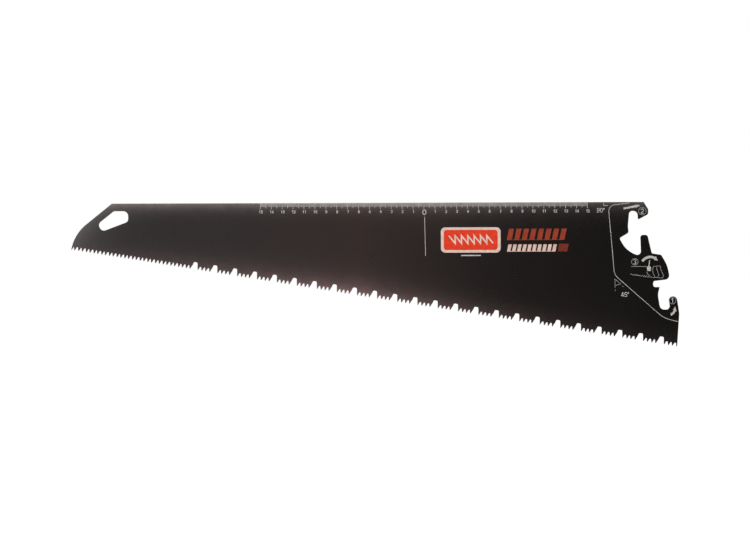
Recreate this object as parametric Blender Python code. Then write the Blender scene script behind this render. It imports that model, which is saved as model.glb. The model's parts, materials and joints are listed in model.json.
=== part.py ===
"""Interchangeable blade of a drywall hand saw: one coated steel plate with prints on one side.

The blade stands as it is used: the spine runs along X with the toe at -X, the teeth point down,
and the printed side faces -Y. Places on the blade are in millimetres, X from the zero of the
printed scale towards the heel and Z up from the spine. The empty blade_datum carries them to the
part's origin, which is a point on the printed side of the tang's tongue.
"""

import math

import bmesh
import bpy
from mathutils import Matrix

MM = 0.001

# The plate
PLATE_THICKNESS = 0.9
TONGUE_DATUM = (201.5, -42.0)
TOE_CORNER = (-286.2, 0.0)
HEEL_END = (231.9, -132.7)

# The tooth line, straight from the toe down to the heel
TOOTH_LINE_START = (-323.6, -42.2)
TOOTH_LINE_SLOPE = math.atan2(TOOTH_LINE_START[1] - HEEL_END[1], HEEL_END[0] - TOOTH_LINE_START[0])
SLOTS = 151
FINE_SLOTS = 31
FIRST_TIP = -0.5
FINE_PITCH = 3.57
BODY_PITCH = 3.66
PITCH_GROWTH = 0.0018
TIP_LAND = 0.25
NOTCH_DEPTH = 3.1
NOTCH_ROOT_RADIUS = 0.35
TOOTH_BACK_LEAN = 0.47
TOOTH_FRONT_LEAN = -0.25
FLEAM = math.radians(22)
BELOW_TIPS = 1.5

# Dust gullets, each in place of two notches
GULLETS = 24
SLOTS_PER_GROUP = 5
GULLET_DEPTH = 6.7
GULLET_SHOULDER = 4.2
GULLET_RADIUS = 1.2
GULLET_FRONT_LEAN = -math.tan(TOOTH_LINE_SLOPE)

# The ink
INK_THICKNESS = 0.05
LAYER_GAP = 0.02
LINE_WIDTH = 0.48
FINE_LINE = 0.42
ZIGZAG_LINE = 0.35
DIGIT_LINE = 0.55

# The printed scale, in centimetres each way from its zero
SCALE_REACH = 150
TICK_STEP = 5
TICK_WIDTH = 0.45
TICK_TOP = 0.35
TICK_RAIL = 0.3
CENTIMETRE_TICK = 5.6
HALF_TICK = 4.7

ARC_FLATNESS = 0.02

PLATE_COLLECTION = "drywall_saw_blade"
CUTTER_COLLECTION = "cutters"


# ---------------------------------------------------------------- outlines


def towards(start, end, distance):
    """The point that far from start on the way to end."""
    length = math.dist(start, end)
    return tuple(a + (b - a) * distance / length for a, b in zip(start, end))


def turned_corner(before, corner, after, radius):
    """The arc that rounds a corner, as points from its first side to its second."""
    if radius <= 0:
        return [corner]
    back = math.atan2(before[1] - corner[1], before[0] - corner[0])
    ahead = math.atan2(after[1] - corner[1], after[0] - corner[0])
    between = (ahead - back + math.pi) % (2 * math.pi) - math.pi
    half = abs(between) / 2
    start = towards(corner, before, radius / math.tan(half))
    centre = towards(corner, (corner[0] + math.cos(back + between / 2),
                              corner[1] + math.sin(back + between / 2)), radius / math.sin(half))
    sweep = math.copysign(math.pi - abs(between), -between)
    first = math.atan2(start[1] - centre[1], start[0] - centre[0])
    steps = arc_steps(radius, sweep)
    return [on_circle(centre, radius, first + sweep * i / steps) for i in range(steps + 1)]


def arc_steps(radius, sweep):
    """How many straight steps stay within the flatness of an arc."""
    return max(2, math.ceil(abs(sweep) / (2 * math.acos(1 - ARC_FLATNESS / radius))))


def on_circle(centre, radius, angle):
    return centre[0] + radius * math.cos(angle), centre[1] + radius * math.sin(angle)


def rounded(corners, closed=True):
    """Points of an outline or an open line through corners given as (x, z, radius)."""
    points = []
    last = len(corners) - 1
    for i, (x, z, radius) in enumerate(corners):
        if not closed and i in (0, last):
            points.append((x, z))
            continue
        before = corners[i - 1][:2]
        after = corners[(i + 1) % len(corners)][:2]
        points += turned_corner(before, (x, z), after, radius)
    return points


def arc(centre, radius, start, end):
    """Points along an arc, with its angles in degrees."""
    sweep = math.radians(end - start)
    steps = arc_steps(radius, sweep)
    return [on_circle(centre, radius, math.radians(start) + sweep * i / steps) for i in range(steps + 1)]


def circle(radius):
    return arc((0, 0), radius, 0, 360)[:-1]


def ring(radius, width):
    return [circle(radius), circle(radius - width)]


def side_of(line, offset, closed):
    """The line moved sideways, with mitred corners."""
    moved = []
    last = len(line) - 1
    for i, point in enumerate(line):
        before = line[i - 1] if closed or i > 0 else None
        after = line[(i + 1) % len(line)] if closed or i < last else None
        ways = []
        for start, end in ((before, point), (point, after)):
            if start is not None and end is not None:
                length = math.dist(start, end)
                ways.append(((end[0] - start[0]) / length, (end[1] - start[1]) / length))
        way = [sum(w[axis] for w in ways) / len(ways) for axis in (0, 1)]
        mitre = offset / (way[0] ** 2 + way[1] ** 2)
        moved.append((point[0] - way[1] * mitre, point[1] + way[0] * mitre))
    return moved


def stroke(line, width, closed=False):
    """The outlines of a drawn line of even width: one, or an outer and an inner one when closed."""
    left = side_of(line, width / 2, closed)
    right = side_of(line, -width / 2, closed)
    return [left, right] if closed else [left + right[::-1]]


def slanted_box(low_x, high_x, low_z, high_z, lean):
    """A box whose top is shifted by lean."""
    return [(low_x, low_z), (high_x, low_z), (high_x + lean, high_z), (low_x + lean, high_z)]


# ---------------------------------------------------------------- solids


def new_collection(name):
    collection = bpy.data.collections.new(name)
    bpy.context.scene.collection.children.link(collection)
    return collection


def coated(name, colour, roughness, metallic=0.0):
    material = bpy.data.materials.new(name)
    material.use_nodes = True
    shader = material.node_tree.nodes["Principled BSDF"]
    shader.inputs["Base Color"].default_value = (*colour, 1.0)
    shader.inputs["Roughness"].default_value = roughness
    shader.inputs["Metallic"].default_value = metallic
    return material


def evaluated_mesh(obj):
    bpy.context.view_layer.update()
    depsgraph = bpy.context.evaluated_depsgraph_get()
    return bpy.data.meshes.new_from_object(obj.evaluated_get(depsgraph))


def extruded(name, outlines, front, back, collection):
    """A mesh object between two Y planes from closed outlines, the inner ones being holes."""
    curve = bpy.data.curves.new(name, "CURVE")
    curve.dimensions = "2D"
    curve.fill_mode = "BOTH"
    curve.extrude = (back - front) / 2 * MM
    for outline in outlines:
        spline = curve.splines.new("POLY")
        spline.points.add(len(outline) - 1)
        for point, (x, z) in zip(spline.points, outline):
            point.co = (x * MM, z * MM, 0.0, 1.0)
        spline.use_cyclic_u = True
    drawn = bpy.data.objects.new(name, curve)
    collection.objects.link(drawn)

    mesh = evaluated_mesh(drawn)
    bpy.data.objects.remove(drawn)
    stood_up = Matrix.Translation((0, (front + back) / 2 * MM, 0)) @ Matrix.Rotation(math.pi / 2, 4, "X")
    mesh.transform(stood_up)
    shape = bmesh.new()
    shape.from_mesh(mesh)
    bmesh.ops.remove_doubles(shape, verts=shape.verts, dist=1e-6)
    bmesh.ops.recalc_face_normals(shape, faces=shape.faces)
    shape.to_mesh(mesh)
    shape.free()
    obj = bpy.data.objects.new(name, mesh)
    collection.objects.link(obj)
    return obj


# ---------------------------------------------------------------- the plate


def plate_corners():
    """The plate's outline from the spine over the tang and the tooth line to the toe."""
    spine = [(*TOE_CORNER, 1.5), (201.6, 0, 0.6)]
    upper_hook = [(205.8, -6.8, 2.5), (205.7, -11.3, 2.5), (196.3, -16.3, 0.8)]
    hook_notch = [(196.1, -8.2, 4.2), (188.3, -8.2, 3.2), (187.1, -22.0, 15)]
    lever_pocket = [(187.7, -28.2, 2), (179.2, -33.2, 1.8), (184.3, -42.0, 20), (190.8, -46.9, 20),
                    (199.2, -50.1, 3.4)]
    tongue = [(198.5, -30.2, 2.4), (205.0, -30.2, 2.4), (208.9, -47.2, 1.8)]
    cam_lobe = [(217.5, -48.5, 2.5), (223.2, -58.1, 30), (225.5, -70.9, 4)]
    pin_slot = [(210.1, -72.7, 1.8), (210.1, -78.2, 2.2), (216.1, -78.1, 0.4)]
    lower_notch = [(214.3, -84.8, 14), (216.6, -98.8, 4.4), (225.9, -98.8, 3.4)]
    lower_hook = [(223.9, -86.7, 3.4), (231.6, -86.7, 3.8), (234.0, -102.1, 12), (*HEEL_END, 0)]
    toe = [(*TOOTH_LINE_START, 0), (-320.3, -27.5, 38)]
    return (spine + upper_hook + hook_notch + lever_pocket + tongue + cam_lobe + pin_slot
            + lower_notch + lower_hook + toe)


HANG_HOLE = [(-284.5, -7.0, 2.0), (-271.3, -7.0, 4.6), (-271.3, -16.6, 3.5), (-295.5, -25.7, 4.3),
             (-299.3, -18.8, 4.0)]


def on_tooth_line(along, depth):
    """A point that far along the line of the tips, and that deep into the plate from it."""
    cos, sin = math.cos(TOOTH_LINE_SLOPE), math.sin(TOOTH_LINE_SLOPE)
    return (TOOTH_LINE_START[0] + along * cos + depth * sin,
            TOOTH_LINE_START[1] - along * sin + depth * cos)


def tip(slot):
    """Where the tip before this slot stands along the tooth line: fine and even at the toe, then
    with a pitch that grows to the heel."""
    beyond = max(slot - FINE_SLOTS, 0)
    return FIRST_TIP + FINE_PITCH * (slot - beyond) + beyond * (BODY_PITCH + PITCH_GROWTH * beyond / 2)


def notch(slot):
    """One notch, open below the tips, as (along, depth, radius) corners. The toe narrows the first."""
    start, end = max(tip(slot), 0) + TIP_LAND / 2, tip(slot + 1) - TIP_LAND / 2
    return [(start - TOOTH_BACK_LEAN * BELOW_TIPS, -BELOW_TIPS, 0),
            (start + TOOTH_BACK_LEAN * NOTCH_DEPTH, NOTCH_DEPTH, NOTCH_ROOT_RADIUS),
            (end + TOOTH_FRONT_LEAN * NOTCH_DEPTH, NOTCH_DEPTH, NOTCH_ROOT_RADIUS),
            (end - TOOTH_FRONT_LEAN * BELOW_TIPS, -BELOW_TIPS, 0)]


def gullet(slot):
    """One deep gullet over this slot and the next, in the same way."""
    start, end = tip(slot) + TIP_LAND / 2, tip(slot + 2) - TIP_LAND / 2
    shoulder = start + TOOTH_BACK_LEAN * GULLET_SHOULDER
    return [(start - TOOTH_BACK_LEAN * BELOW_TIPS, -BELOW_TIPS, 0),
            (shoulder, GULLET_SHOULDER, 0),
            (shoulder + 0.7, GULLET_DEPTH, GULLET_RADIUS),
            (end + GULLET_FRONT_LEAN * GULLET_DEPTH, GULLET_DEPTH, GULLET_RADIUS),
            (end - GULLET_FRONT_LEAN * BELOW_TIPS, -BELOW_TIPS, 0)]


def gullet_slots():
    return [FINE_SLOTS + SLOTS_PER_GROUP * i for i in range(GULLETS)]


def notch_slots():
    cut_away = {slot + i for slot in gullet_slots() for i in (0, 1)}
    return [slot for slot in range(SLOTS) if slot not in cut_away]


def cutter(name, profiles, fleam, collection):
    """Prisms through the plate, leaning along the tooth line by the fleam angle."""
    reach = PLATE_THICKNESS
    outlines = [[on_tooth_line(*point) for point in rounded(profile)] for profile in profiles]
    obj = extruded(name, outlines, -reach, PLATE_THICKNESS + reach, collection)
    lean = math.tan(fleam)
    for vertex in obj.data.vertices:
        shift = lean * (vertex.co.y - PLATE_THICKNESS / 2 * MM)
        vertex.co.x += shift * math.cos(TOOTH_LINE_SLOPE)
        vertex.co.z -= shift * math.sin(TOOTH_LINE_SLOPE)
    obj.hide_render = True
    obj.display_type = "WIRE"
    return obj


def blade_plate(collection, cutters, material):
    plate = extruded("blade_plate", [rounded(plate_corners()), rounded(HANG_HOLE)], 0, PLATE_THICKNESS,
                     collection)
    slots = notch_slots()
    tools = [cutter("even_notches", [notch(slot) for slot in slots[::2]], FLEAM, cutters),
             cutter("odd_notches", [notch(slot) for slot in slots[1::2]], -FLEAM, cutters),
             cutter("gullets", [gullet(slot) for slot in gullet_slots()], 0, cutters)]
    for tool in tools:
        cut = plate.modifiers.new(tool.name, "BOOLEAN")
        cut.operation = "DIFFERENCE"
        cut.object = tool
    mesh = evaluated_mesh(plate)
    plate.modifiers.clear()
    plate.data = mesh
    mesh.materials.append(material)
    return plate


# ---------------------------------------------------------------- the prints


class Press:
    """Prints flat ink films on the plate, one node each."""

    def __init__(self, collection):
        self.collection = collection

    def film(self, name, outlines, ink, layer=0, place=(0, 0)):
        back = -(LAYER_GAP + layer * (INK_THICKNESS + LAYER_GAP))
        obj = extruded(name, outlines, back - INK_THICKNESS, back, self.collection)
        obj.location = (place[0] * MM, 0, place[1] * MM)
        obj.data.materials.append(ink)
        return obj


def scale_outline():
    """A comb: a thin rail along the spine with a tick for each half centimetre."""
    outline = [(-SCALE_REACH - TICK_WIDTH / 2, -TICK_TOP)]
    rail_bottom = -TICK_TOP - TICK_RAIL
    for mark in range(-SCALE_REACH, SCALE_REACH + 1, TICK_STEP):
        depth = CENTIMETRE_TICK if mark % (2 * TICK_STEP) == 0 else HALF_TICK
        if mark > -SCALE_REACH:
            outline.append((mark - TICK_WIDTH / 2, rail_bottom))
        outline.append((mark - TICK_WIDTH / 2, -depth))
        outline.append((mark + TICK_WIDTH / 2, -depth))
        if mark < SCALE_REACH:
            outline.append((mark + TICK_WIDTH / 2, rail_bottom))
    outline.append((SCALE_REACH + TICK_WIDTH / 2, -TICK_TOP))
    return outline


def print_scale(press, pale):
    press.film("scale_comb", [scale_outline()], pale)
    oval = [(x * 0.7, z) for x, z in circle(2.1)]
    press.film("zero_numeral", stroke(oval, 0.75, closed=True), pale, place=(0.4, -8.8))
    press.film("zero_line", stroke([(0.6, -13.0), (1.4, -48.9)], LINE_WIDTH), pale)


def box_corners(low_x, high_x, low_z, high_z, radius):
    return [(low_x, low_z, radius), (high_x, low_z, radius), (high_x, high_z, radius), (low_x, high_z, radius)]


def print_badge(press, cream, orange, pale):
    """A plain panel with a drawn row of saw teeth."""
    press.film("badge_panel", [rounded(box_corners(15.5, 70.3, -46.0, -22.8, 4.0))], cream)
    press.film("badge_field", [rounded(box_corners(18.2, 67.6, -43.6, -25.2, 2.6))], orange, layer=1)
    teeth, left, pitch = 7, 22.8, 5.8
    line = [(left, -37.5)]
    for i in range(teeth):
        line += [(left + i * pitch, -30.5), (left + (i + 1) * pitch, -37.5)]
    press.film("badge_teeth", stroke(line[1:], 1.3), cream, layer=2)
    press.film("badge_rule", stroke([(34, -48.6), (52, -48.6)], 1.1), pale)


def bars(left, low, high, width, gap, count, lean, rule):
    """Slanted bars on a common rule, as one outline."""
    step = width + gap
    lean_at_rule = lean * rule / (high - low)
    outline = [(left, low)]
    outline.append((left + step * count - gap, low))
    for i in reversed(range(count)):
        start = left + i * step
        outline.append((start + width + lean, high))
        outline.append((start + lean, high))
        if i > 0:
            outline.append((start + lean_at_rule, low + rule))
            outline.append((start - gap + lean_at_rule, low + rule))
    return outline


def print_title(press, orange, dull_orange, pink):
    """Rows of plain slanted bars."""
    upper = bars(left=75.8, low=-34.6, high=-24.2, width=4.6, gap=2.3, count=8, lean=2.2, rule=0.45)
    press.film("title_bars_upper", [upper], orange)
    lower = bars(left=76.0, low=-45.2, high=-38.6, width=3.1, gap=1.5, count=10, lean=1.4, rule=0.45)
    press.film("title_bars_lower", [lower], pink)
    press.film("title_block", [slanted_box(122.6, 131.2, -45.2, -38.0, 1.5)], dull_orange)


def straight_arrow(start, end, width, head_width, head_length):
    neck = towards(end, start, head_length)
    left, right = side_of([start, neck], width / 2, False), side_of([start, neck], -width / 2, False)
    wings = [side_of([neck, end], side * head_width / 2, False)[0] for side in (1, -1)]
    return left + [wings[0], end, wings[1]] + right[::-1]


def bent_arrow(centre, radius, start, neck, end, width, head_width):
    """An arrow along an arc, with its angles in degrees."""
    half, wing = width / 2, head_width / 2
    outer = arc(centre, radius + half, start, neck)
    inner = arc(centre, radius - half, neck, start)
    at_neck = math.radians(neck)
    head = [on_circle(centre, radius + wing, at_neck), on_circle(centre, radius, math.radians(end)),
            on_circle(centre, radius - wing, at_neck)]
    return outer + head + inner


def print_fitting_marks(press, pale, grey):
    """The line of the handle's front edge, and the three steps that fit the blade to it."""
    edge = [(189.0, -0.85, 0), (169.1, -3.2, 6), (174.6, -66.8, 10), (219.6, -106.5, 22), (232.3, -109.8, 0)]
    press.film("handle_edge_line", stroke(rounded(edge, closed=False), LINE_WIDTH), pale)
    press.film("square_mark", stroke([(164.9, -0.5), (164.9, -3.2), (168.8, -3.2)], FINE_LINE), pale)
    mitre = [(174.9, -70.6), (175.2, -76.6), (180.3, -75.1)]
    press.film("mitre_mark", stroke(mitre, FINE_LINE, closed=True), grey)

    hook, lever, heel = (200.3, -8.4), (193.3, -54.9), (227.7, -90.5)
    for step, place, radius in ((1, heel, 3.3), (2, hook, 3.7), (3, lever, 3.2)):
        press.film(f"step_ring_{step}", ring(radius, FINE_LINE), grey, place=place)
    one = [(-0.9, 1.0), (0.25, 1.9), (0.25, -2.1)]
    two = [(-1.3, 1.1), (-0.5, 2.0), (0.7, 2.0), (1.2, 1.0), (0.6, 0.0), (-1.2, -2.0), (1.5, -2.0)]
    three = [(-1.2, 1.8), (0.4, 1.9), (1.1, 1.0), (0.1, 0.0), (1.2, -0.9), (0.4, -1.9), (-1.2, -1.8)]
    for step, place, digit in ((1, heel, one), (2, hook, two), (3, lever, three)):
        press.film(f"step_digit_{step}", stroke(digit, DIGIT_LINE), pale, place=place)

    press.film("heel_arrow", [bent_arrow((223.3, -97.1), 7.0, -67, -22, 10, 2.0, 3.6)], pale)
    press.film("hook_arrow", [straight_arrow((183.1, -6.0), (198.5, -3.1), 1.7, 3.2, 4.6)], pale)
    press.film("lever_arrow", [bent_arrow((207.5, -59.2), 8.7, 147, 62, 38, 2.2, 3.8)], pale)


def print_pictogram(press, pale, grey):
    """A small drawing of the handle's lever closing on the blade."""
    press.film("drawn_spine", stroke([(189.7, -59.2), (203.8, -59.2)], LINE_WIDTH), grey)
    teeth, start, end = 10, (189.1, -66.3), (209.1, -69.1)
    line = []
    for i in range(2 * teeth + 1):
        along = i / (2 * teeth)
        up = 0.55 if i % 2 else -0.55
        line.append((start[0] + (end[0] - start[0]) * along, start[1] + (end[1] - start[1]) * along + up))
    press.film("drawn_teeth", stroke(line, ZIGZAG_LINE), grey)
    lever = [(204.6, -63.3), (204.4, -59.5), (205.7, -59.2), (206.5, -53.5), (207.3, -53.5), (206.7, -59.2),
             (208.1, -59.5), (207.9, -63.3)]
    press.film("drawn_lever", [lever], pale)
    grip = [(209.6, -61.6, 1.5), (210.3, -59.2, 1.0), (217.0, -58.7, 0.8), (216.8, -61.4, 1.0),
            (219.7, -67.6, 1.0), (218.8, -69.8, 0.8), (212.0, -69.4, 1.0), (209.8, -65.2, 3.0)]
    press.film("drawn_grip", stroke(rounded(grip), FINE_LINE, closed=True), grey)
    slot = [(213.0, -60.2, 0), (215.4, -67.4, 0.8), (214.2, -68.5, 0)]
    press.film("drawn_grip_slot", stroke(rounded(slot, closed=False), FINE_LINE), grey)


# ---------------------------------------------------------------- the part


def build():
    for obj in list(bpy.data.objects):
        bpy.data.objects.remove(obj)
    parts = new_collection(PLATE_COLLECTION)
    cutters = new_collection(CUTTER_COLLECTION)

    black_coat = coated("black_coat", (0.012, 0.010, 0.009), 0.38, 0.2)
    pale_ink = coated("pale_ink", (0.44, 0.42, 0.40), 0.55)
    grey_ink = coated("grey_ink", (0.27, 0.26, 0.25), 0.55)
    cream_ink = coated("cream_ink", (0.64, 0.49, 0.41), 0.50)
    pink_ink = coated("pink_ink", (0.62, 0.44, 0.37), 0.50)
    orange_ink = coated("orange_ink", (0.66, 0.036, 0.010), 0.50)
    title_ink = coated("title_ink", (0.27, 0.036, 0.014), 0.50)
    dull_ink = coated("dull_ink", (0.16, 0.022, 0.010), 0.50)

    blade_plate(parts, cutters, black_coat)
    press = Press(parts)
    print_scale(press, pale_ink)
    print_badge(press, cream_ink, orange_ink, pale_ink)
    print_title(press, title_ink, dull_ink, pink_ink)
    print_fitting_marks(press, pale_ink, grey_ink)
    print_pictogram(press, pale_ink, grey_ink)

    datum = bpy.data.objects.new("blade_datum", None)
    datum.location = (-TONGUE_DATUM[0] * MM, 0, -TONGUE_DATUM[1] * MM)
    parts.objects.link(datum)
    for obj in [*parts.objects, *cutters.objects]:
        if obj is not datum:
            obj.parent = datum


build()
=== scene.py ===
"""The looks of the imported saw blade: its coat, inks and small prints, in a plain pale studio.

The blade's own printed scale gives the places on it: millimetres, X from the scale's zero towards
the heel and Z up from the spine.
"""

import json
import math

import bmesh
import bpy
from mathutils import Matrix, Vector


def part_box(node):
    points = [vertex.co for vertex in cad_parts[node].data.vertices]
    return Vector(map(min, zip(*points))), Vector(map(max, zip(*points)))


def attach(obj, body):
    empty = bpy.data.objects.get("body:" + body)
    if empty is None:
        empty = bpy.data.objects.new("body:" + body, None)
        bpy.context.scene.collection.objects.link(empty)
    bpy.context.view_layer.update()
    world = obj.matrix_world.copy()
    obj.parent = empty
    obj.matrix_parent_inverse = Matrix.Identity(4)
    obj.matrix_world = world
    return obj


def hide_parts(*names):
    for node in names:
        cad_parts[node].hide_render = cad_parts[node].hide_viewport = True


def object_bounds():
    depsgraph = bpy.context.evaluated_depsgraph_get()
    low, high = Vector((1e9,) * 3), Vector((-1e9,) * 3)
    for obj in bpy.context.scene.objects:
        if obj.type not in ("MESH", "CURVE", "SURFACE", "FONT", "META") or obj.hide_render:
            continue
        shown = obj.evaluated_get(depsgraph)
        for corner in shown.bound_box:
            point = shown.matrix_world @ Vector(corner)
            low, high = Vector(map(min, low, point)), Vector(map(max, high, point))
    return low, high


MM = 0.001

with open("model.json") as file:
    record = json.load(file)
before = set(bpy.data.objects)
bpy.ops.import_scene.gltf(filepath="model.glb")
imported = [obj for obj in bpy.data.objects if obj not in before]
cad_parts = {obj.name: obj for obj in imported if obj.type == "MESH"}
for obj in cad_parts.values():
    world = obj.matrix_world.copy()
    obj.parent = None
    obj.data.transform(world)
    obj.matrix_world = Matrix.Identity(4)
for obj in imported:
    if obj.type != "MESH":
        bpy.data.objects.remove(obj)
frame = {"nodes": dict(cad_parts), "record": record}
CAD_LOW, CAD_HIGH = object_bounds()

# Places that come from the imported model
SCALE_LOW, SCALE_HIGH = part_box("scale_comb")
ZERO_X = (SCALE_LOW.x + SCALE_HIGH.x) / 2
SPINE_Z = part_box("blade_plate")[1].z
FILM_FRONT, FILM_BACK = SCALE_LOW.y, SCALE_HIGH.y
PLATE_BACK = CAD_HIGH.y
PLATE_POINTS = [vertex.co for vertex in frame["nodes"]["blade_plate"].data.vertices]
TOE_TIP = min(PLATE_POINTS, key=lambda point: point.x)
HEEL_TIP = min(PLATE_POINTS, key=lambda point: point.z)
TOOTH_SLOPE = math.atan2(TOE_TIP.z - HEEL_TIP.z, HEEL_TIP.x - TOE_TIP.x)
INTO_PLATE = Vector((math.sin(TOOTH_SLOPE), 0, math.cos(TOOTH_SLOPE)))

# Into the plate, square to the toe's slanted edge
INTO_TOE = Vector((0.75, 0, -0.66))

# The teeth and edges, in millimetres, with heights above the line of the tips
TIP_ZONE = 0.5
TOOTH_BEND = 2.9
FLANK_TOP = 6.6
COAT_BOTTOM = 7.2
GULLET_ZONE = 9.0
TOOTH_SET = 0.15
EDGE_BREAK = 0.12

# Faces that meet at less than the first angle are one face, and at more than the second an edge
FLAT_ANGLE = math.radians(0.3)
CREASE_ANGLE = math.radians(35)

# Small prints, in millimetres
SCALE_REACH = 150
LONG_TICK_STEP = 5
TICK_WIDTH = 0.36
TICK_TOP = -0.65
TICK_BOTTOM = -3.6
NUMERAL_HEIGHT = 2.3
NUMERAL_Z = -8.1
NUMERAL_SHIFT = 0.4
THIN_LINE = 0.42

# Signs as (text, x, z, height) and lines about the handle, in millimetres
ANGLE_SIGNS = [("90°", 162.4, -7.5, 3.6), ("45°", 184.5, -84.9, 3.7)]
MITRE_DASHES = [
    [(175.2, -77.2), (175.25, -78.6)],
    [(175.3, -80.2), (175.35, -81.8)],
    [(181.7, -76.8), (182.8, -78.0)],
]
SWING_CORNERS = [(204.2, -63.9, 0), (205.2, -66.7, 2.5), (206.9, -67.7, 0)]
JOINT_LINE = [(209.6, -69.4), (211.3, -69.5)]

# Digits, as shares of their height
NUMERAL_LINE = 0.20
SIGN_LINE = 0.14
DIGIT_ADVANCE = 0.82
DEGREE_ADVANCE = 0.6

# The angle between the points of a rounded corner
ARC_STEP = math.radians(18)

# The coat's marks and its painted sheen, in millimetres: lengths over which they fade, and the place
# along the blade where the painted warm sheen is brightest
SHEEN_PEAK_X = -60
SHEEN_TO_HEEL = 100
SHEEN_TO_TOE = 140
SINGED_SHEEN_HEIGHT = 5
SINGED_SHEEN_FADE = 7.5
SHEEN_BAND_FADE = 4.2
SHEEN_HAZE_FADE = 14
TOE_FADE = 12

# Colours of the coat, of its painted sheen and of the steel, as linear red, green and blue
COLD_COAT = (0.0030, 0.0026, 0.0021)
# painted warm sheen: a lighter, redder coat that stands in for reflected light, brightest at one place
# along the blade
WARM_SHEEN_COAT = (0.0220, 0.0068, 0.0050)
COAT_SPECKS = (0.018, 0.016, 0.015)
# brown along the teeth: partly the hardened steel's heat tint, partly painted sheen
SINGED_SHEEN_COAT = (0.200, 0.122, 0.118)
# painted sheen: a pale coat under the spine that stands in for reflected light
SPINE_SHEEN_COAT = (0.24, 0.20, 0.19)
# a paler coat near the toe's edge
PALE_TOE_COAT = (0.20, 0.19, 0.18)
WORN_EDGE = (0.11, 0.10, 0.095)
DARK_STEEL = (0.10, 0.09, 0.085)
BRIGHT_STEEL = (0.22, 0.20, 0.19)

# Colours of the inks, in the same way
INKS = {
    "pale_ink": (0.44, 0.42, 0.40),
    "grey_ink": (0.27, 0.26, 0.25),
    "cream_ink": (0.64, 0.49, 0.41),
    "pink_ink": (0.62, 0.44, 0.37),
    "orange_ink": (0.66, 0.036, 0.010),
    "title_ink": (0.27, 0.036, 0.014),
    "dull_ink": (0.16, 0.022, 0.010),
}

# The studio: lengths in metres, colours as above
FLOOR_BELOW = 0.30
FLOOR_SIZE = 60.0
PALE_FLOOR = (0.86, 0.86, 0.86)
DARK_CLOTH = (0.06, 0.06, 0.06)
ROOM_LIGHT = (0.03, 0.029, 0.028)
PANEL_ROLL = math.radians(-30)
SUN_STRENGTH = 3.9
SUN_WIDTH = math.radians(12)

# The camera: lens, sensor and its place off the blade's middle, right and up, in millimetres
LENS = 60.0
SENSOR = 36.0
CAMERA_ASIDE = (-0.2, 0.1)
CAMERA_ROLL = math.atan(0.0032)
BLADE_SHARE_OF_VIEW = 0.8105

# Sockets of a mix node for colours
MIX_SHARE, MIX_FIRST, MIX_SECOND, MIX_RESULT = 0, 6, 7, 2


# ---------------------------------------------------------------- the plate


def above_tips(point):
    """How far a point is from the line of the teeth's tips, into the plate."""
    return (point - TOE_TIP).dot(INTO_PLATE) / MM


def teeth_of(shape):
    """The vertices below the bend line, one set for each tooth."""
    loose = {vertex for vertex in shape.verts if above_tips(vertex.co) < TOOTH_BEND - 0.01}
    while loose:
        tooth = set()
        reached = {loose.pop()}
        while reached:
            tooth |= reached
            beside = {edge.other_vert(vertex) for vertex in reached for edge in vertex.link_edges}
            reached = beside & loose
            loose -= reached
        yield tooth


def bend_teeth(shape):
    """Sets each tooth to the side that its ground point is on, which alternates."""
    plane = TOE_TIP + INTO_PLATE * TOOTH_BEND * MM
    everything = [*shape.verts, *shape.edges, *shape.faces]
    bmesh.ops.bisect_plane(shape, geom=everything, plane_co=plane, plane_no=INTO_PLATE, dist=1e-7)
    middle = (FILM_BACK + PLATE_BACK) / 2
    for tooth in teeth_of(shape):
        tips = [vertex.co.y for vertex in tooth if above_tips(vertex.co) < TIP_ZONE]
        side = math.copysign(TOOTH_SET, sum(tips) / len(tips) - middle)
        for vertex in tooth:
            vertex.co.y += side * (1 - above_tips(vertex.co) / TOOTH_BEND) * MM


def break_edges(shape):
    """Takes the sharpness off the outline, but not off the teeth."""
    outline = []
    for edge in shape.edges:
        flat = sorted(abs(face.normal.y) for face in edge.link_faces)
        in_body = all(above_tips(vertex.co) > GULLET_ZONE for vertex in edge.verts)
        if in_body and flat[0] < 0.5 and flat[-1] > 0.9:
            outline.append(edge)
    bmesh.ops.bevel(shape, geom=outline, offset=EDGE_BREAK * MM, segments=2, profile=0.5,
                    affect="EDGES", clamp_overlap=True)


def finished_plate(material):
    """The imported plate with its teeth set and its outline's edges broken."""
    shape = bmesh.new()
    shape.from_mesh(frame["nodes"]["blade_plate"].data)
    bmesh.ops.remove_doubles(shape, verts=shape.verts, dist=1e-6)
    bmesh.ops.dissolve_limit(shape, angle_limit=FLAT_ANGLE, verts=shape.verts, edges=shape.edges)
    break_edges(shape)
    bend_teeth(shape)
    bmesh.ops.triangulate(shape, faces=shape.faces)
    mesh = bpy.data.meshes.new("set_plate")
    shape.to_mesh(mesh)
    shape.free()
    mesh.set_sharp_from_angle(angle=CREASE_ANGLE)
    for face in mesh.polygons:
        face.use_smooth = abs(face.normal.y) < 0.99
    mesh.materials.append(material)
    plate = bpy.data.objects.new("set_plate", mesh)
    bpy.context.scene.collection.objects.link(plate)
    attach(plate, "root")
    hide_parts("blade_plate")


# ---------------------------------------------------------------- drawn lines


def towards(start, end, distance):
    """The place at a distance from the start, on the way to the end."""
    length = math.dist(start, end)
    return tuple(a + (b - a) * distance / length for a, b in zip(start, end))


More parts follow.
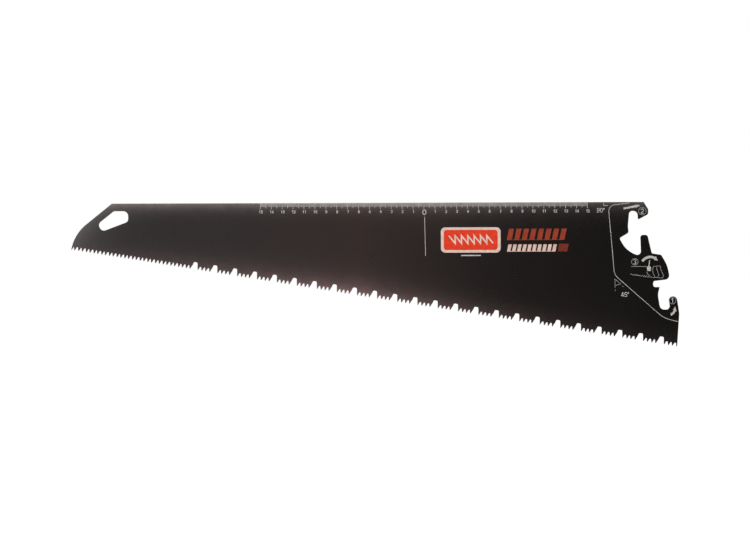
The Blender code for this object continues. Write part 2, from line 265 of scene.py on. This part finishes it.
def turned_corner(before, corner, after, radius):
    """The arc that rounds a corner, as points from its first side to its second."""
    if radius <= 0:
        return [corner]
    back = math.atan2(before[1] - corner[1], before[0] - corner[0])
    ahead = math.atan2(after[1] - corner[1], after[0] - corner[0])
    between = (ahead - back + math.pi) % (2 * math.pi) - math.pi
    half = abs(between) / 2
    start = towards(corner, before, radius / math.tan(half))
    middle = back + between / 2
    way_in = (corner[0] + math.cos(middle), corner[1] + math.sin(middle))
    centre = towards(corner, way_in, radius / math.sin(half))
    sweep = math.copysign(math.pi - abs(between), -between)
    first = math.atan2(start[1] - centre[1], start[0] - centre[0])
    steps = max(2, round(abs(sweep) / ARC_STEP))
    return [(centre[0] + radius * math.cos(first + sweep * i / steps),
             centre[1] + radius * math.sin(first + sweep * i / steps)) for i in range(steps + 1)]


def rounded(corners, closed):
    """Points of a line through corners given as (x, z, radius)."""
    points = []
    last = len(corners) - 1
    for i, (x, z, radius) in enumerate(corners):
        if not closed and i in (0, last):
            points.append((x, z))
            continue
        before = corners[i - 1][:2]
        after = corners[(i + 1) % len(corners)][:2]
        points += turned_corner(before, (x, z), after, radius)
    return points


def side_of(line, offset, closed):
    """The line moved sideways, with mitred corners."""
    moved = []
    last = len(line) - 1
    for i, point in enumerate(line):
        before = line[i - 1] if closed or i > 0 else None
        after = line[(i + 1) % len(line)] if closed or i < last else None
        ways = []
        for start, end in ((before, point), (point, after)):
            if start is not None and end is not None:
                length = math.dist(start, end)
                ways.append(((end[0] - start[0]) / length, (end[1] - start[1]) / length))
        way = [sum(w[axis] for w in ways) / len(ways) for axis in (0, 1)]
        mitre = offset / (way[0] ** 2 + way[1] ** 2)
        moved.append((point[0] - way[1] * mitre, point[1] + way[0] * mitre))
    return moved


def stroke(line, width, closed=False):
    """The outlines of a drawn line of even width."""
    left = side_of(line, width / 2, closed)
    right = side_of(line, -width / 2, closed)
    return [left, right] if closed else [left + right[::-1]]


# ---------------------------------------------------------------- films of ink


def evaluated_mesh(obj):
    """The object's mesh as its curve settings and modifiers make it."""
    bpy.context.view_layer.update()
    return bpy.data.meshes.new_from_object(obj.evaluated_get(bpy.context.evaluated_depsgraph_get()))


def flat_film(outlines):
    """A closed plate one unit thick in the plane of its outlines."""
    curve = bpy.data.curves.new("film", "CURVE")
    curve.dimensions = "2D"
    curve.fill_mode = "BOTH"
    curve.extrude = 0.5
    for outline in outlines:
        spline = curve.splines.new("POLY")
        spline.points.add(len(outline) - 1)
        for point, (x, z) in zip(spline.points, outline):
            point.co = (x, z, 0, 1)
        spline.use_cyclic_u = True
    drawn = bpy.data.objects.new("film", curve)
    bpy.context.scene.collection.objects.link(drawn)
    mesh = evaluated_mesh(drawn)
    bpy.data.objects.remove(drawn)
    shape = bmesh.new()
    shape.from_mesh(mesh)
    bmesh.ops.remove_doubles(shape, verts=shape.verts, dist=1e-5)
    bmesh.ops.recalc_face_normals(shape, faces=shape.faces)
    shape.to_mesh(mesh)
    shape.free()
    return mesh


def united(meshes):
    """One closed mesh from films that cross."""
    objects = [bpy.data.objects.new("film", mesh) for mesh in meshes]
    for obj in objects:
        bpy.context.scene.collection.objects.link(obj)
    for other in objects[1:]:
        union = objects[0].modifiers.new("union", "BOOLEAN")
        union.operation = "UNION"
        union.object = other
    mesh = evaluated_mesh(objects[0])
    for obj in objects:
        bpy.data.objects.remove(obj)
    return mesh


def print_piece(name, films, material):
    """A piece of ink from films given as (mesh, x, z, scale), in the plane of the CAD's films."""
    thickness = (FILM_BACK - FILM_FRONT) / MM
    stand_up = Matrix.Rotation(math.pi / 2, 4, "X")
    datum = Matrix.Translation((ZERO_X, (FILM_FRONT + FILM_BACK) / 2, SPINE_Z)) @ Matrix.Scale(MM, 4)
    shape = bmesh.new()
    for mesh, x, z, scale in films:
        placed = mesh.copy()
        placed.transform(datum @ Matrix.Translation((x, 0, z)) @ stand_up
                         @ Matrix.Diagonal((scale, scale, thickness, 1)))
        shape.from_mesh(placed)
    joined = bpy.data.meshes.new(name)
    shape.to_mesh(joined)
    shape.free()
    joined.materials.append(material)
    piece = bpy.data.objects.new(name, joined)
    bpy.context.scene.collection.objects.link(piece)
    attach(piece, "root")


# ---------------------------------------------------------------- digits


def box_line(width, low, high, radius):
    """The corners of a closed upright box, as (x, z, radius)."""
    return [(-width / 2, low, radius), (width / 2, low, radius), (width / 2, high, radius),
            (-width / 2, high, radius)]


# Each digit's lines as (corners, closed), one unit high and about its middle across
DIGITS = {
    "0": [(box_line(0.52, 0, 1, 0.25), True)],
    "1": [([(-0.22, 0.76, 0), (0.06, 1, 0), (0.06, -0.09, 0)], False)],
    "2": [([(-0.26, 0.68, 0), (-0.24, 1, 0.22), (0.27, 1, 0.25), (0.27, 0.52, 0.22), (-0.27, 0.0, 0),
            (0.33, 0.0, 0)], False)],
    "3": [([(-0.27, 0.78, 0), (-0.25, 1, 0.2), (0.24, 1, 0.22), (0.24, 0.53, 0.2), (-0.1, 0.53, 0)],
           False),
          ([(-0.1, 0.53, 0), (0.27, 0.53, 0.22), (0.27, 0, 0.25), (-0.27, 0, 0.22), (-0.29, 0.24, 0)],
           False)],
    "4": [([(0.1, 1.05, 0), (-0.28, 0.26, 0), (0.33, 0.26, 0)], False),
          ([(0.12, 1.09, 0), (0.12, -0.09, 0)], False)],
    "5": [([(0.27, 1, 0), (-0.2, 1, 0), (-0.25, 0.5, 0), (0.27, 0.66, 0.24), (0.27, 0, 0.26),
            (-0.27, 0, 0.2), (-0.3, 0.2, 0)], False)],
    "6": [(box_line(0.54, 0, 0.58, 0.25), True),
          ([(0.27, 0.82, 0), (0.2, 1, 0.14), (-0.27, 1, 0.3), (-0.27, 0.3, 0)], False)],
    "7": [([(-0.3, 1, 0), (0.25, 1, 0), (-0.08, -0.09, 0)], False)],
    "8": [(box_line(0.54, 0, 0.54, 0.24), True), (box_line(0.46, 0.54, 1, 0.2), True)],
    "9": [(box_line(0.54, 0.42, 1, 0.25), True),
          ([(-0.27, 0.18, 0), (-0.2, 0, 0.14), (0.27, 0, 0.3), (0.27, 0.7, 0)], False)],
    "°": [(box_line(0.26, 0.72, 0.98, 0.12), True)],
}


def digit_film(digit, line):
    """One digit, one unit high, drawn with a line of the given width."""
    films = [flat_film(stroke(rounded(corners, closed), line, closed))
             for corners, closed in DIGITS[digit]]
    return films[0] if len(films) == 1 else united(films)


class Digits:
    """Films of digits of one weight, each drawn once."""

    def __init__(self, line):
        self.drawn = {digit: digit_film(digit, line) for digit in DIGITS}

    def number(self, text, x, z, height):
        """Films of a number that is centred on a place."""
        steps = [DEGREE_ADVANCE if digit == "°" else DIGIT_ADVANCE for digit in text[1:]]
        left = x - height * sum(steps) / 2
        return [(self.drawn[digit], left + height * sum(steps[:i]), z - height / 2, height)
                for i, digit in enumerate(text)]


def print_numerals(ink):
    """The centimetres of the scale, 1 to 15 on each side of its zero."""
    digits = Digits(NUMERAL_LINE)
    films = []
    for centimetre in range(1, SCALE_REACH // 10 + 1):
        for side in (-1, 1):
            place = side * centimetre * 10 + NUMERAL_SHIFT
            films += digits.number(str(centimetre), place, NUMERAL_Z, NUMERAL_HEIGHT)
    print_piece("scale_numerals", films, ink)


def print_millimetres(ink):
    """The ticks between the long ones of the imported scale."""
    half = TICK_WIDTH / 2
    tick = flat_film([[(-half, TICK_BOTTOM), (half, TICK_BOTTOM), (half, TICK_TOP), (-half, TICK_TOP)]])
    films = [(tick, mark, 0, 1) for mark in range(-SCALE_REACH, SCALE_REACH) if mark % LONG_TICK_STEP]
    print_piece("millimetre_ticks", films, ink)


def print_signs(pale, grey):
    """The signs for 90 and 45 degrees, and the rest of the lines about the handle."""
    digits = Digits(SIGN_LINE)
    signs = [film for sign in ANGLE_SIGNS for film in digits.number(*sign)]
    print_piece("angle_signs", signs, pale)
    films = [(flat_film(stroke(dash, THIN_LINE)), 0, 0, 1) for dash in MITRE_DASHES]
    print_piece("mitre_dashes", films, grey)
    swing = rounded(SWING_CORNERS, False)
    films = [(flat_film(stroke(line, THIN_LINE)), 0, 0, 1) for line in (swing, JOINT_LINE)]
    print_piece("drawn_swing", films, grey)


# ---------------------------------------------------------------- materials


class Recipe:
    """One procedural material, with short calls for its nodes."""

    def __init__(self, name, **values):
        self.material = bpy.data.materials.new(name)
        self.material.use_nodes = True
        self.tree = self.material.node_tree
        self.shader = self.tree.nodes["Principled BSDF"]
        for socket, value in values.items():
            self.shader.inputs[socket.replace("_", " ")].default_value = value
        self.place = self.node("ShaderNodeTexCoord").outputs["Object"]

    def node(self, kind, inputs=None, **settings):
        node = self.tree.nodes.new(kind)
        for key, value in settings.items():
            setattr(node, key, value)
        for socket, value in (inputs or {}).items():
            if isinstance(value, bpy.types.NodeSocket):
                self.tree.links.new(value, node.inputs[socket])
            else:
                node.inputs[socket].default_value = value
        return node

    def stretched(self, x, y, z):
        """The place on the object, scaled along each axis."""
        inputs = {0: self.place, 1: (x, y, z)}
        return self.node("ShaderNodeVectorMath", inputs, operation="MULTIPLY").outputs[0]

    def noise(self, scale, detail=2.0, roughness=0.5, place=None):
        inputs = {"Vector": place or self.place, "Scale": scale, "Detail": detail,
                  "Roughness": roughness}
        return self.node("ShaderNodeTexNoise", inputs).outputs[0]

    def span(self, value, low, high, at_low=0.0, at_high=1.0, smooth=True):
        """The value from low to high, carried to another span, eased at both ends or in a line."""
        kind = "SMOOTHSTEP" if smooth else "LINEAR"
        inputs = {"Value": value, "From Min": low, "From Max": high, "To Min": at_low, "To Max": at_high}
        return self.node("ShaderNodeMapRange", inputs, interpolation_type=kind).outputs[0]

    def maths(self, operation, a, b):
        return self.node("ShaderNodeMath", {0: a, 1: b}, operation=operation).outputs[0]

    def fade(self, distance, length, start):
        """One at the start, e times less with each length beyond it, and up to e before it."""
        beyond = self.maths("MAXIMUM", self.maths("SUBTRACT", distance, start), -length)
        return self.maths("EXPONENT", self.maths("DIVIDE", beyond, -length), 0.0)

    def blend(self, share, a, b):
        """From colour a, where the share is 0, to colour b, where it is 1."""
        a, b = [(*c, 1.0) if isinstance(c, tuple) else c for c in (a, b)]
        inputs = {MIX_SHARE: share, MIX_FIRST: a, MIX_SECOND: b}
        return self.node("ShaderNodeMix", inputs, data_type="RGBA").outputs[MIX_RESULT]

    def along(self, direction, origin):
        """How far the place is from the origin in that direction."""
        inputs = {0: self.place, 1: tuple(origin)}
        offset = self.node("ShaderNodeVectorMath", inputs, operation="SUBTRACT")
        inputs = {0: offset.outputs[0], 1: tuple(direction)}
        dot = self.node("ShaderNodeVectorMath", inputs, operation="DOT_PRODUCT")
        return dot.outputs["Value"]

    def sets(self, socket, value):
        self.tree.links.new(value, self.shader.inputs[socket])

    def bumps(self, *layers):
        """Bump from layers given as (height, strength, distance)."""
        normal = None
        for height, strength, distance in layers:
            inputs = {"Height": height, "Strength": strength, "Distance": distance}
            if normal is not None:
                inputs["Normal"] = normal
            normal = self.node("ShaderNodeBump", inputs).outputs[0]
        self.sets("Normal", normal)


def warm_share(look):
    """How strong the painted warm sheen is: one where it is brightest along the blade, and less on
    either side.
    """
    to_heel = look.along((1, 0, 0), (ZERO_X, 0, 0))
    to_toe = look.along((-1, 0, 0), (ZERO_X, 0, 0))
    heel_side = look.fade(to_heel, SHEEN_TO_HEEL * MM, SHEEN_PEAK_X * MM)
    toe_side = look.fade(to_toe, SHEEN_TO_TOE * MM, -SHEEN_PEAK_X * MM)
    return look.maths("MINIMUM", heel_side, toe_side)


def rubbed_share(look):
    """How strong the painted sheen under the spine is: a narrow band of painted reflection that weakens
    to the heel, and a faint wide painted haze that starts before the zero and halves to the heel."""
    from_spine = look.along((0, 0, -1), (0, 0, SPINE_Z))
    from_zero = look.along((1, 0, 0), (ZERO_X, 0, 0))
    band = look.fade(from_spine, SHEEN_BAND_FADE * MM, 0.0)
    band = look.maths("MULTIPLY", band, look.span(from_zero, 0.0, 160 * MM, 0.6, 0.3))
    haze = look.fade(from_spine, SHEEN_HAZE_FADE * MM, 0.0)
    haze = look.maths("MULTIPLY", haze, look.span(from_zero, -80 * MM, 20 * MM, 0.0, 0.08))
    haze = look.maths("MULTIPLY", haze, look.span(from_zero, 40 * MM, 170 * MM, 1.0, 0.5))
    return look.maths("ADD", band, haze)


def coated_steel():
    """Black low-friction coat on spring steel: painted sheen along the blade and under the spine, paler
    at the toe's edge, brown along the teeth from hardening and from painted sheen, with bare ground
    tooth flanks."""
    look = Recipe("coated_steel", Specular_IOR_Level=0.5)
    from_teeth = look.along(INTO_PLATE, TOE_TIP)
    from_toe = look.along(INTO_TOE, TOE_TIP)
    normal = look.node("ShaderNodeNewGeometry").outputs["True Normal"]
    across = look.node("ShaderNodeSeparateXYZ", {0: normal}).outputs["Y"]
    edge = look.span(look.maths("ABSOLUTE", across, 0.0), 0.98, 0.90)
    flank = look.maths("MULTIPLY", edge, look.span(from_teeth, COAT_BOTTOM * MM, FLANK_TOP * MM))

    clouds = look.noise(14.0, 3.0, 0.55)
    grain = look.noise(1700.0, 3.0, 0.6)
    drawn = look.noise(1.0, 3.0, 0.6, look.stretched(14, 300, 900))
    ground = look.noise(1.0, 2.0, 0.6, look.stretched(500, 9000, 500))
    mottle = look.span(look.noise(90.0, 4.0, 0.65), 0.3, 0.7, 0.8, 1.2, smooth=False)

    # painted warm sheen: the coat made lighter and redder along the blade in place of reflected light
    warm_sheen = warm_share(look)
    cloudy = look.span(clouds, 0.3, 0.7, 0.7, 1.0)
    coat = look.blend(look.maths("MULTIPLY", warm_sheen, cloudy), COLD_COAT, WARM_SHEEN_COAT)
    specks = look.span(grain, 0.60, 0.78)
    coat = look.blend(look.maths("MULTIPLY", specks, 0.25), coat, COAT_SPECKS)
    # brown heat tint along the teeth, partly painted sheen, as it follows the painted warm sheen along
    # the blade
    singed_and_sheen = look.fade(from_teeth, SINGED_SHEEN_FADE * MM, SINGED_SHEEN_HEIGHT * MM)
    singed_and_sheen = look.maths("MULTIPLY", singed_and_sheen, look.maths("MULTIPLY", warm_sheen, mottle))
    coat = look.blend(look.maths("MULTIPLY", singed_and_sheen, 0.56), coat, SINGED_SHEEN_COAT)
    # painted sheen under the spine, in place of reflected light
    coat = look.blend(look.maths("MULTIPLY", rubbed_share(look), mottle), coat, SPINE_SHEEN_COAT)
    # the coat paler towards the toe's slanted edge
    at_toe = look.fade(from_toe, TOE_FADE * MM, 0.0)
    coat = look.blend(look.maths("MULTIPLY", at_toe, 0.22), coat, PALE_TOE_COAT)

    worn = look.maths("MULTIPLY", edge, look.span(drawn, 0.4, 0.6, 0.35, 0.9))
    coat = look.blend(worn, coat, WORN_EDGE)
    steel = look.blend(look.span(ground, 0.3, 0.7), DARK_STEEL, BRIGHT_STEEL)
    look.sets("Base Color", look.blend(flank, coat, steel))
    look.sets("Metallic", look.span(flank, 0.0, 1.0, 0.0, 0.9, smooth=False))

    roughness = look.span(clouds, 0.3, 0.7, 0.26, 0.31, smooth=False)
    lines = look.span(drawn, 0.2, 0.8, -0.006, 0.006, smooth=False)
    roughness = look.maths("ADD", roughness, lines)
    roughness = look.maths("ADD", roughness, look.maths("MULTIPLY", flank, 0.08))
    look.sets("Roughness", roughness)
    look.bumps((grain, 0.08, 0.02 * MM), (drawn, 0.01, 0.02 * MM))
    return look.material


def printed_ink(name, colour, patchiness=0.12):
    """Screen-printed ink: a fine mottle, faint pinholes and a soft satin surface."""
    look = Recipe(name, Specular_IOR_Level=0.2)
    thin = tuple(channel * (1 - patchiness) for channel in colour)
    thick = tuple(min(channel * (1 + patchiness), 1.0) for channel in colour)
    mottle = look.noise(260.0, 3.0, 0.6)
    mesh_marks = look.noise(4200.0, 1.0, 0.5)
    ink = look.blend(look.span(mottle, 0.3, 0.7), thin, thick)
    pinholes = look.span(mesh_marks, 0.66, 0.80, 0.0, 0.35)
    look.sets("Base Color", look.blend(pinholes, ink, tuple(channel * 0.45 for channel in colour)))
    look.sets("Roughness", look.span(mottle, 0.3, 0.7, 0.42, 0.56, smooth=False))
    look.bumps((mesh_marks, 0.15, 0.02 * MM))
    return look.material


def dress_nodes(looks):
    """Gives each CAD node the material of its slot."""
    for subpart in frame["record"]["subparts"]:
        node = frame["nodes"][subpart["node"]]
        node.data.materials.clear()
        node.data.materials.append(looks[subpart["material_slot"]])


# ---------------------------------------------------------------- the studio


def studio_floor():
    """A plain pale floor. Gloss sees it darker, as if dark cloth lay outside the picture."""
    look = Recipe("floor", Roughness=0.9)
    is_glossy = look.node("ShaderNodeLightPath").outputs["Is Glossy Ray"]
    look.sets("Base Color", look.blend(is_glossy, PALE_FLOOR, DARK_CLOTH))
    centre = (CAD_LOW + CAD_HIGH) / 2
    bpy.ops.mesh.primitive_plane_add(size=FLOOR_SIZE, location=(centre.x, 0, CAD_LOW.z - FLOOR_BELOW))
    floor = bpy.context.object
    floor.name = "floor"
    floor.data.materials.append(look.material)


def studio_world():
    """White behind the object, and a dim room for everything else."""
    world = bpy.data.worlds.new("room")
    bpy.context.scene.world = world
    world.use_nodes = True
    tree = world.node_tree
    path = tree.nodes.new("ShaderNodeLightPath")
    mix = tree.nodes.new("ShaderNodeMix")
    mix.data_type = "RGBA"
    mix.inputs[MIX_FIRST].default_value = (*ROOM_LIGHT, 1)
    mix.inputs[MIX_SECOND].default_value = (1, 1, 1, 1)
    tree.links.new(path.outputs["Is Camera Ray"], mix.inputs[MIX_SHARE])
    tree.links.new(mix.outputs[MIX_RESULT], tree.nodes["Background"].inputs["Color"])


def area_light(name, position, target, size, power, roll=0.0):
    """A lamp that the camera doesn't see, in metres and watts."""
    light = bpy.data.lights.new(name, "AREA")
    light.shape = "RECTANGLE"
    light.size, light.size_y = size
    light.energy = power
    lamp = bpy.data.objects.new(name, light)
    lamp.location = position
    aim = (Vector(target) - Vector(position)).to_track_quat("-Z", "Y").to_matrix()
    lamp.rotation_euler = (aim @ Matrix.Rotation(roll, 3, "Z")).to_euler()
    lamp.visible_camera = False
    bpy.context.scene.collection.objects.link(lamp)


def studio_lights():
    """A key light above, a panel that the coat's gloss shows at the left, a fill from behind and a
    sun for the floor."""
    centre = (CAD_LOW + CAD_HIGH) / 2
    area_light("key", centre + Vector((-0.3, -1.5, 1.9)), centre, (1.2, 1.2), 28)
    beside = centre + Vector((-1.79, 0, 0))
    area_light("left_panel", beside + Vector((0, -2.4, 0)), beside, (3.4, 2.4), 16.6, PANEL_ROLL)
    area_light("back_fill", centre + Vector((-0.5, 1.7, 1.6)), centre, (1.5, 1.5), 25)
    sun = bpy.data.lights.new("overhead", "SUN")
    sun.energy = SUN_STRENGTH
    sun.angle = SUN_WIDTH
    overhead = bpy.data.objects.new("overhead", sun)
    bpy.context.scene.collection.objects.link(overhead)


def photograph_camera():
    """Square on to the printed side, with the blade in the middle of the picture."""
    view_width = (CAD_HIGH.x - CAD_LOW.x) / BLADE_SHARE_OF_VIEW
    camera = bpy.data.cameras.new("camera")
    camera.lens, camera.sensor_width = LENS, SENSOR
    eye = bpy.data.objects.new("camera", camera)
    centre = (CAD_LOW + CAD_HIGH) / 2
    aside, above = CAMERA_ASIDE
    eye.location = (centre.x + aside * MM, -view_width * LENS / SENSOR, centre.z + above * MM)
    level = Matrix.Rotation(math.pi / 2, 3, "X")
    eye.rotation_euler = (Matrix.Rotation(CAMERA_ROLL, 3, "Y") @ level).to_euler()
    bpy.context.scene.collection.objects.link(eye)
    bpy.context.scene.camera = eye
    bpy.context.scene.view_settings.view_transform = "Standard"


# ---------------------------------------------------------------- the scene


looks = {name: printed_ink(name, colour) for name, colour in INKS.items()}
looks["black_coat"] = coated_steel()
dress_nodes(looks)
finished_plate(looks["black_coat"])

print_numerals(looks["pale_ink"])
print_millimetres(looks["pale_ink"])
print_signs(looks["pale_ink"], looks["grey_ink"])

studio_floor()
studio_world()
studio_lights()
photograph_camera()
